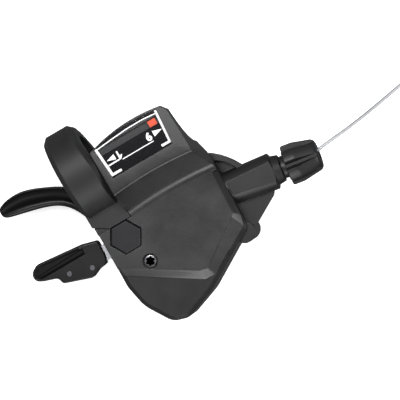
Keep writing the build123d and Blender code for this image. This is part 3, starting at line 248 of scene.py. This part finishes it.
by_slot = {
    "shell_plastic": shell_nylon,
    "cap_plastic": cap_nylon,
    "lever_plastic": lever_nylon,
    "adjuster_plastic": adjuster_acetal,
    "clear_plastic": window_acrylic,
    "scale_plastic": dial_bed,
    "marker_red": needle_abs,
    "spool_plastic": spool_acetal,
    "steel": zinc_steel,
    "dark_steel": black_steel,
    "wire_steel": wire_steel,
    "tie_plastic": tie_nylon,
    "crimp_aluminium": crimp_aluminium,
}
for node, slot in slot_of.items():
    nodes_by_name[node].data.materials.clear()
    nodes_by_name[node].data.materials.append(by_slot[slot])
nodes_by_name["clamp_band"].data.materials[0] = band_nylon
nodes_by_name["base_housing"].data.materials[0] = base_nylon


# Building blocks for the pieces, with sizes in millimetres

def add_piece(name, data, slot, body, *stands_for):
    """Puts a shape in the scene as a piece of a body, in place of the solids named. Its slot is not used."""
    piece = bpy.data.objects.new(name, data)
    bpy.context.scene.collection.objects.link(piece)
    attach(piece, body)
    if stands_for:
        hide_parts(*stands_for)
    return piece


def to_mesh(name, shape, *materials):
    """Turns a finished bmesh into a mesh with its materials."""
    mesh = bpy.data.meshes.new(name)
    shape.to_mesh(mesh)
    shape.free()
    for material in materials:
        mesh.materials.append(material)
    return mesh


def loft(rings, inner):
    """A closed bmesh through rings of points in metres. Faces with all their corners among the rings' inner ones,
    which are given by number, take the second material."""
    shape = bmesh.new()
    loops = []
    inner_corners = set()
    for points, inner_numbers in zip(rings, inner):
        corners = [shape.verts.new(point) for point in points]
        loops.append([shape.edges.new((corners[i - 1], corners[i])) for i in range(len(corners))])
        inner_corners.update(corners[i] for i in inner_numbers)
    for this_loop, next_loop in zip(loops, loops[1:]):
        bmesh.ops.bridge_loops(shape, edges=this_loop + next_loop)
    bmesh.ops.holes_fill(shape, edges=loops[0] + loops[-1], sides=0)
    for face in shape.faces:
        face.material_index = int(inner_corners.issuperset(face.verts))
    bmesh.ops.recalc_face_normals(shape, faces=shape.faces)
    return shape


def upright_block(outline, low, high):
    """A bmesh block that stands over an outline between two heights."""
    shape = bmesh.new()
    foot = shape.faces.new([shape.verts.new((x * MM, y * MM, low * MM)) for x, y in outline])
    lifted = bmesh.ops.extrude_face_region(shape, geom=[foot])["geom"]
    bmesh.ops.translate(shape, vec=(0, 0, (high - low) * MM),
                        verts=[part for part in lifted if isinstance(part, bmesh.types.BMVert)])
    bmesh.ops.recalc_face_normals(shape, faces=shape.faces)
    return shape


def round_edges(shape, edges, radius, segments):
    """Rounds edges of a bmesh."""
    bmesh.ops.bevel(shape, geom=list(edges), offset=radius * MM, offset_type="OFFSET", affect="EDGES",
                    segments=segments, profile=0.5, material=-1, clamp_overlap=True)


def top_edges(shape):
    """The edges round the highest face of a bmesh."""
    return max(shape.faces, key=lambda face: face.calc_center_median().z).edges


def flowing(node, body, crease):
    """A copy of a solid with its seams merged, so that light runs on across bends of less than crease degrees."""
    shape = bmesh.new()
    shape.from_mesh(nodes_by_name[node].data)
    bmesh.ops.remove_doubles(shape, verts=shape.verts, dist=0.002 * MM)
    bmesh.ops.dissolve_degenerate(shape, edges=shape.edges, dist=0.001 * MM)
    mesh = to_mesh(node + "_skin", shape, nodes_by_name[node].data.materials[0])
    if "custom_normal" in mesh.attributes:
        mesh.attributes.remove(mesh.attributes["custom_normal"])
    mesh.shade_smooth()
    mesh.set_sharp_from_angle(angle=math.radians(crease))
    return add_piece(node + "_skin", mesh, slot_of[node], body, node)


# Covers and adjuster

flowing("top_cover", "pod", crease=21)
flowing("base_housing", "pod", crease=25)
# The adjuster stands where it was last screwed to, with a groove between two wings uppermost
half_wing = math.radians(30)
adjuster_skin = flowing("barrel_adjuster", "adjuster", crease=30)
screw_line = next(joint for joint in frame["joints"] if joint["name"] == "adjuster_turn")
screw_point = Vector(screw_line["pos_m"])
adjuster_skin.data.transform(Matrix.Translation(screw_point)
                             @ Matrix.Rotation(half_wing, 4, Vector(screw_line["axis"]))
                             @ Matrix.Translation(-screw_point))


# Thumb blade: one scooped moulding round the lever's steel arm, with a broad lip on its near side and a round tip

# How a cut across the blade runs, from its near side to its far side: share of the width, share of the scoop's
# depth, share of the height below the rim
blade_cut = [(0.07, 0.0, 1.0), (0.0, 0.0, 0.5), (0.03, 0.0, 0.14), (0.15, 0.0, 0.02), (0.32, 0.08, 0.0),
             (0.42, 0.62, 0.0), (0.62, 1.0, 0.0), (0.84, 0.9, 0.0), (0.93, 0.1, 0.0), (1.0, 0.0, 0.12),
             (1.0, 0.0, 0.5), (0.93, 0.0, 1.0)]
scoop_points = range(4, 9)
# Cuts from the arm to the tip: near edge, far edge, depth of the scoop, height taken off the top and the bottom
blade_cuts = [((-8.5, -17.9), (-4.3, -17.2), 0.2, 0.5, 0.2), ((-9.9, -13.9), (-4.3, -12.2), 0.6, 0.0, 0.0),
              ((-12.2, -9.7), (-6.3, -6.0), 1.3, 0.0, 0.0), ((-15.2, -6.8), (-10.2, -1.5), 1.7, 0.0, 0.0),
              ((-20.0, -4.7), (-16.5, 1.7), 2.9, 0.0, 0.2), ((-26.0, -3.2), (-24.2, 5.0), 3.1, 0.0, 0.6),
              ((-31.0, -2.0), (-30.6, 4.9), 2.6, 0.1, 1.2), ((-34.5, -1.1), (-34.4, 3.7), 1.4, 0.5, 2.0),
              ((-35.4, 0.3), (-35.4, 2.4), 0.2, 1.4, 3.0)]
blade_low, blade_high = (corner[2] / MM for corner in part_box("thumb_blade"))
blade_rings = []
for near, far, scoop, top_off, bottom_off in blade_cuts:
    high = blade_high - top_off
    low = blade_low + bottom_off
    blade_rings.append([((near[0] + across * (far[0] - near[0])) * MM, (near[1] + across * (far[1] - near[1])) * MM,
                         (high - deep * scoop - fall * (high - low)) * MM) for across, deep, fall in blade_cut])
# The scoop's faces take the darker hollow nylon, which is painted shade in the scoop
blade = loft(blade_rings, [scoop_points] * len(blade_rings))
blade_mesh = to_mesh("thumb_blade_skin", blade, lever_nylon, hollow_shade_nylon)
blade_mesh.shade_smooth()
blade_skin = add_piece("thumb_blade_skin", blade_mesh, slot_of["thumb_blade"], "thumb_lever", "thumb_blade")
rounding = blade_skin.modifiers.new("rounding", "SUBSURF")
rounding.levels = 2
rounding.render_levels = 2


# Finger paddle: a plate with a round tip, a matt hollow for the fingertip painted darker as painted shade, and a flat
# panel round the two rivets

paddle_low, paddle_high = (corner[2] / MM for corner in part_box("trigger_paddle"))
paddle_rim = [(-9.2, -24.2), (-15.4, -22.5), (-32.6, -20.8), (-35.3, -22.4), (-36.1, -24.4), (-35.4, -26.2),
              (-33.1, -27.3), (-28.2, -28.9), (-27.7, -31.4), (-17.1, -35.0), (-13.6, -33.4), (-10.2, -33.0),
              (-9.3, -30.0)]
hollow_end_x = -15.2
hollow_edge_y = -26.3
shade_from_x = -17.0
flat_face_mm2 = 8.0
paddle = upright_block(paddle_rim, paddle_low, paddle_high)
round_edges(paddle, [edge for edge in paddle.edges if abs(edge.verts[0].co.z - edge.verts[1].co.z) > 1 * MM], 0.9, 3)
round_edges(paddle, top_edges(paddle), 0.6, 3)


def paddle_top():
    """The faces of the paddle's flat top."""
    return [face for face in paddle.faces if face.calc_center_median().z > (paddle_high - 0.01) * MM]


# The hollow stops at a step before the arm and at the panel's far edge
for step_at, step_way in (((hollow_end_x, 0, 0), (1, 0, 0)), ((0, hollow_edge_y, 0), (0, 1, 0))):
    level = paddle_top()
    level_edges = dict.fromkeys(edge for face in level for edge in face.edges)
    level_corners = dict.fromkeys(corner for face in level for corner in face.verts)
    bmesh.ops.bisect_plane(paddle, geom=level + list(level_edges) + list(level_corners), dist=0.001 * MM,
                           plane_co=Vector(step_at) * MM, plane_no=step_way)
hollow = [face for face in paddle_top() if face.calc_center_median().x < hollow_end_x * MM
          and face.calc_center_median().y > hollow_edge_y * MM]
walls = bmesh.ops.inset_region(paddle, faces=hollow, thickness=0.9 * MM, depth=-1.2 * MM, use_even_offset=True)["faces"]
# The hollow's floor and walls take the darker hollow nylon as painted shade, except the step at its end, which keeps
# the paler lever nylon as a painted glint
for face in hollow + walls:
    face.material_index = int(face.calc_center_median().x < shade_from_x * MM)
round_edges(paddle, [edge for face in hollow for edge in face.edges], 0.5, 3)
bmesh.ops.recalc_face_normals(paddle, faces=paddle.faces)
for face in paddle.faces:
    face.smooth = face.calc_area() < flat_face_mm2 * MM ** 2
paddle_mesh = to_mesh("trigger_paddle_skin", paddle, lever_nylon, hollow_shade_nylon)
add_piece("trigger_paddle_skin", paddle_mesh, slot_of["trigger_paddle"], "trigger", "trigger_paddle")


# Clamp band: the lug's near corner is cut off where the pod's gusset grips it

band_crease = 30
corner_block = upright_block([(-1.6, -22.7), (-8.0, -18.96), (-8.0, -22.7)], -8.0, 4.0)
corner_cut = bpy.data.objects.new("corner_cut", to_mesh("corner_cut", corner_block))
bpy.context.scene.collection.objects.link(corner_cut)
band_skin = flowing("clamp_band", "pod", band_crease)
cut = band_skin.modifiers.new("corner", "BOOLEAN")
cut.object = corner_cut
cut.operation = "DIFFERENCE"
cut.solver = "EXACT"
cut_mesh = bpy.data.meshes.new_from_object(band_skin.evaluated_get(bpy.context.evaluated_depsgraph_get()))
band_skin.modifiers.clear()
band_skin.data = cut_mesh
cut_mesh.set_sharp_from_angle(angle=math.radians(band_crease))
bpy.data.objects.remove(corner_cut)

# The gusset stands clear of the cut corner, with a ledge under the joint, so that it is a groove and no slit
gusset = upright_block([(-6.41, -20.29), (-6.41, -22.96), (-2.2, -22.96), (-2.2, -22.75)], 0.5, 2.4)
round_edges(gusset, top_edges(gusset), 0.25, 2)
ledge = upright_block([(-6.38, -19.92), (-6.38, -22.9), (-1.9, -22.9), (-1.9, -22.56)], -7.3, 1.5)
for name, block in (("neck_gusset", gusset), ("neck_ledge", ledge)):
    add_piece(name, to_mesh(name, block, base_nylon), "shell_plastic", "pod")


# Cover screw: a low head with a rounded rim and a deep six-lobed socket

screw_low, screw_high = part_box("cover_screw")
screw_centre = (screw_low + screw_high) / 2
screw_r = (screw_high.x - screw_low.x) / 2
lobes = [0.76, 0.66, 0.48, 0.66] * 6
round_rim = [1.0] * len(lobes)
socket_points = range(len(lobes))
point_angle = 15
# Rings from the head's foot over its rim to the socket's floor: shares of the radius, spread, depth below the top
# in millimetres, and the points that lie in the socket
screw_cuts = [(round_rim, 1.0, 1.6, ()), (round_rim, 1.0, 0.25, ()), (round_rim, 0.93, 0.05, ()),
              (round_rim, 0.86, 0.0, ()), (lobes, 1.06, 0.0, ()), (lobes, 1.0, 0.12, socket_points),
              (lobes, 0.97, 1.2, socket_points)]
screw_rings = []
for shares, spread, drop, _ in screw_cuts:
    ring = []
    for number, share in enumerate(shares):
        angle = math.radians(point_angle * number)
        ring.append((screw_centre.x + screw_r * spread * share * math.cos(angle),
                     screw_centre.y + screw_r * spread * share * math.sin(angle), screw_high.z - drop * MM))
    screw_rings.append(ring)
screw = loft(screw_rings, [in_socket for *_, in_socket in screw_cuts])
# The head takes the paler steel as a painted highlight, and the socket takes the near-black steel as painted shade
screw_mesh = to_mesh("cover_screw_skin", screw, screw_highlight_steel, socket_shade_steel)
screw_mesh.shade_smooth()
screw_mesh.set_sharp_from_angle(angle=math.radians(35))
add_piece("cover_screw_skin", screw_mesh, "dark_steel", "pod", "cover_screw")


# Floor, light and camera

floor_half = 1500
floor_gap = 0.02
floor_shape = bmesh.new()
bmesh.ops.create_grid(floor_shape, x_segments=1, y_segments=1, size=floor_half * MM)
bmesh.ops.translate(floor_shape, verts=floor_shape.verts, vec=(30 * MM, -30 * MM, cad_box[0][2] - floor_gap * MM))
# Light table: white opal sheet with a lamp under it, which leaves almost no shadow
opal_sheet, _, opal_shader, _ = new_material("opal_light_table", specular=0.1)
opal_shader.inputs["Base Color"].default_value = linear("#f4f4f4")
opal_shader.inputs["Roughness"].default_value = 0.9
opal_shader.inputs["Emission Color"].default_value = (1.0, 1.0, 1.0, 1.0)
opal_shader.inputs["Emission Strength"].default_value = 0.6
floor = bpy.data.objects.new("floor", to_mesh("floor", floor_shape, opal_sheet))
floor.visible_glossy = False
bpy.context.scene.collection.objects.link(floor)

# White room that is darker straight above, where the camera stands, near the floor, and in front, where it is open
world = bpy.data.worlds.new("white_room")
world.use_nodes = True
room = world.node_tree
direction = add_node(room, "ShaderNodeTexCoord")
part_of = add_node(room, "ShaderNodeSeparateXYZ", links={"Vector": (direction, "Generated")})
sky = add_ramp(room, (part_of, "Z"), [(0.0, (0.3, 0.3, 0.3, 1.0)), (0.08, (0.86, 0.86, 0.86, 1.0)),
                                      (0.72, (0.86, 0.86, 0.86, 1.0)), (0.97, (0.66, 0.66, 0.67, 1.0))])
front = add_node(room, "ShaderNodeMapRange",
                 inputs={"From Min": -0.8, "From Max": -0.15, "To Min": 0.3, "To Max": 1.0},
                 links={"Value": (part_of, "Y")})
dimmed = add_node(room, "ShaderNodeMix", {"data_type": "RGBA"}, {MIX_FROM: (0.0, 0.0, 0.0, 1.0)},
                  {MIX_SHARE: (front, "Result"), MIX_TO: (sky, "Color")})
room.links.new(dimmed.outputs[MIX_RESULT], room.nodes["Background"].inputs["Color"])
room.nodes["Background"].inputs["Strength"].default_value = 0.66
bpy.context.scene.world = world


def softbox(name, place, target, size, power):
    """A square area light at a place, facing a target; millimetres and watts."""
    light = bpy.data.lights.new(name, "AREA")
    light.size = size * MM
    light.energy = power
    holder = bpy.data.objects.new(name, light)
    holder.location = Vector(place) * MM
    way = (Vector(target) - Vector(place)).normalized()
    holder.rotation_euler = way.to_track_quat("-Z", "Y").to_euler()
    bpy.context.scene.collection.objects.link(holder)


softbox("front_softbox", (-180, -560, 280), (20, -40, 0), size=380, power=2.9)
softbox("side_softbox", (520, -380, 360), (35, -40, 0), size=460, power=3.2)
softbox("display_softbox", (40, 110, 330), (22, 0, 15), size=150, power=1.2)

# The camera stands far off, nearly straight above the main face, and leans a little to the right
picture_px = 400
px_per_mm = 2.82
sensor_mm = 36
distance = 3.0
look_at = Vector((31.12, -30.18, 0)) * MM
back = Vector((0.11, 0, 1)).normalized()
up = Vector((0.506, 0.8625, 0))
up = (up - back * up.dot(back)).normalized()
right = up.cross(back)
camera_data = bpy.data.cameras.new("photo_camera")
camera_data.sensor_width = sensor_mm
camera_data.lens = sensor_mm * distance / (picture_px / px_per_mm * MM)
camera_data.clip_start = 0.01
camera_data.clip_end = 20
camera = bpy.data.objects.new("photo_camera", camera_data)
turn = Matrix((right, up, back)).transposed()
camera.matrix_world = Matrix.Translation(look_at + back * distance) @ turn.to_4x4()
bpy.context.scene.collection.objects.link(camera)
bpy.context.scene.camera = camera
bpy.context.scene.view_settings.view_transform = "Standard"


# Inner wire: one line from the casing seat down to the surface, round its coil and into the crimped end

wire_d = 1.2
wire_route = [
    (67.6823, -35.8982, -6.3),
    (71.6332, -36.5239, -6.3),
    (78.5653, -35.4694, -6.596),
    (89.08, -34.548, -10.592),
    (99.7032, -32.922, -16.808),
    (110.218, -30.9166, -22.0065),
    (120.7328, -29.2364, -24.5965),
    (129.7842, -28.2608, -24.8),
]
coil_centre = Vector((129.7842, -40.2608, -22.0))
coil_r = 12.0
# Where each turn lies in the bundle, outwards and up: every turn is one wire away from the turn before it
turn_places = [
    (0, -2.77), (-0.6, -1.73), (-1.8, -1.73), (-2.4, -0.69), (-1.2, -0.69), (-0.6, 0.35), (-1.8, 0.35),
    (-2.4, 1.39), (-1.2, 1.39), (-0.6, 2.43), (0.6, 2.43), (0, 1.39), (1.2, 1.39), (2.4, 1.39), (1.8, 0.35),
    (0.6, 0.35), (0, -0.69), (1.2, -0.69), (0.6, -1.73), (1.8, -1.73), (2.4, -0.69),
]
# Angles in degrees, which fall as the wire runs on: it changes places in the bundle under the tie
start_angle = 90
tie_angle = -160
tail_angle = -380
point_step = 22.5
shift_half = 34
tail_r = 14
tail_rise = -2.3
tail_step = 5


def round_coil(angle, radius, rise):
    """The point at an angle, a radius and a height of the coil."""
    turned = math.radians(angle)
    return coil_centre + Vector((radius * math.cos(turned), radius * math.sin(turned), rise))


coil_points = []
last_angle = tail_angle - 360 * (len(turn_places) - 2)
steps = round((start_angle - last_angle) / point_step)
for step in range(1, steps):
    angle = start_angle + (last_angle - start_angle) * step / steps
    past_tie = (tie_angle - angle) / 360
    turn_now = math.floor(past_tie + 0.5)
    off_tie = (past_tie - turn_now) * 360
    share = min(max((off_tie + shift_half) / (2 * shift_half), 0), 1)
    share = share * share * (3 - 2 * share)
    this_turn, next_turn = (min(max(turn_now + ahead, 0), len(turn_places) - 1) for ahead in (0, 1))
    out, rise = (a + (b - a) * share for a, b in zip(turn_places[this_turn], turn_places[next_turn]))
    coil_points.append(round_coil(angle, coil_r + out, rise))
tail_start = round_coil(tail_angle, tail_r, tail_rise)
tail_way = Vector((math.sin(math.radians(tail_angle)), -math.cos(math.radians(tail_angle)), 0))
tail_points = [tail_start + tail_way * tail_step * number for number in range(3)]

wire_points = [Vector(point) for point in wire_route] + coil_points + tail_points
wire_curve = bpy.data.curves.new("inner_wire", "CURVE")
wire_curve.dimensions = "3D"
wire_line = wire_curve.splines.new("NURBS")
wire_line.points.add(len(wire_points) - 1)
for spot, place in zip(wire_line.points, wire_points):
    spot.co = (*(place * MM), 1.0)
wire_line.order_u = 3
wire_line.use_endpoint_u = True
wire_line.resolution_u = 4
wire_curve.bevel_depth = wire_d / 2 * MM
wire_curve.bevel_resolution = 4
wire_curve.use_fill_caps = True
wire_curve.materials.append(wire_steel)
inner_wire = add_piece("inner_wire", wire_curve, "wire_steel", "pod", "cable_free", "cable_coil", "cable_tail")


# Window print: ink in the window, round a clear strip that the needle shows through

ink_thickness = 0.04
mask_lift = 0.06
marks_lift = 0.14
digit_weight = 0.045
window_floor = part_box("window_lens")[0].z / MM


def bar(start, end, width):
    """The four corners of a straight printed bar."""
    start, end = Vector(start), Vector(end)
    way = (end - start).normalized() * (width / 2)
    side = Vector((-way.y, way.x))
    return [start + side, start - side, end - side, end + side]


def digit_mesh(digit, middle, tall):
    """A flat digit of a height about a middle, turned half round, because the rider reads it from the far side."""
    letter = bpy.data.curves.new("digit", "FONT")
    letter.body = digit
    letter.offset = digit_weight
    holder = bpy.data.objects.new("digit", letter)
    mesh = bpy.data.meshes.new_from_object(holder)
    bpy.data.objects.remove(holder)
    low, high = (Vector(pick(vert.co[axis] for vert in mesh.vertices) for axis in range(3)) for pick in (min, max))
    size = tall / (high.y - low.y)
    turned = Matrix.Translation((*middle, 0)) @ Matrix.Rotation(math.pi, 4, "Z") @ Matrix.Scale(size, 4)
    mesh.transform(turned @ Matrix.Translation(-(low + high) / 2))
    return mesh


def printed(name, outlines, digits, lift, ink):
    """One layer of ink at a height in the window: closed outlines and flat digits."""
    layer = bmesh.new()
    for outline in outlines:
        layer.faces.new([layer.verts.new((place[0], place[1], 0)) for place in outline])
    for digit in digits:
        layer.from_mesh(digit)
    bmesh.ops.remove_doubles(layer, verts=layer.verts, dist=0.001)
    bmesh.ops.triangulate(layer, faces=layer.faces)
    bmesh.ops.solidify(layer, geom=layer.faces, thickness=ink_thickness)
    bmesh.ops.recalc_face_normals(layer, faces=layer.faces)
    for face in layer.faces:
        face.smooth = False
    bmesh.ops.translate(layer, verts=layer.verts, vec=(0, 0, window_floor + lift))
    bmesh.ops.scale(layer, verts=layer.verts, vec=(MM, MM, MM))
    add_piece(name, to_mesh(name, layer, ink), "scale_plastic", "pod")


far_line = [(10.1, 3.45), (16.2, 4.06), (22.8, 4.58), (29.0, 4.64), (34.35, 4.2)]
far_edge = [(9.15, 3.8), (15.5, 5.3), (22.1, 6.0), (28.9, 6.0), (35.15, 5.3)]
near_panel = [(10.0, -7.95), (34.2, -7.95), (34.8, 0.72), (9.4, 0.72)]
printed("window_mask", [near_panel, far_line + far_edge[::-1]], [], mask_lift, black_ink)

left_bracket = [(9.1, 3.75), (9.9, -7.4), (14.1, -7.4), (14.1, -6.5), (10.8, -6.5), (10.05, 3.85)]
right_bracket = [(35.35, 5.15), (34.45, 5.25), (33.55, -6.4), (30.6, -6.4), (30.6, -7.3), (34.45, -7.3)]
left_rule = bar((10.7, -3.5), (15.2, -3.45), 0.5)
long_rule = bar((16.3, -3.95), (29.0, -3.9), 0.32)
digit_one = [(15.37, -0.45), (15.37, -3.6), (15.85, -3.6), (16.95, -2.45), (16.75, -2.05), (15.99, -2.5),
             (15.99, -0.45)]
left_arrow = [(10.95, -1.8), (14.3, -2.8), (14.3, -0.8)]
right_arrow = [(33.75, -1.65), (30.15, -0.6), (30.15, -2.75)]
line_half = 0.2
far_rule = [(x, y - line_half) for x, y in far_line] + [(x, y + line_half) for x, y in reversed(far_line)]
marks = [left_bracket, right_bracket, left_rule, long_rule, digit_one, left_arrow, right_arrow, far_rule]
printed("window_marks", marks, [digit_mesh("9", (28.2, -1.75), 3.2)], marks_lift, white_ink)
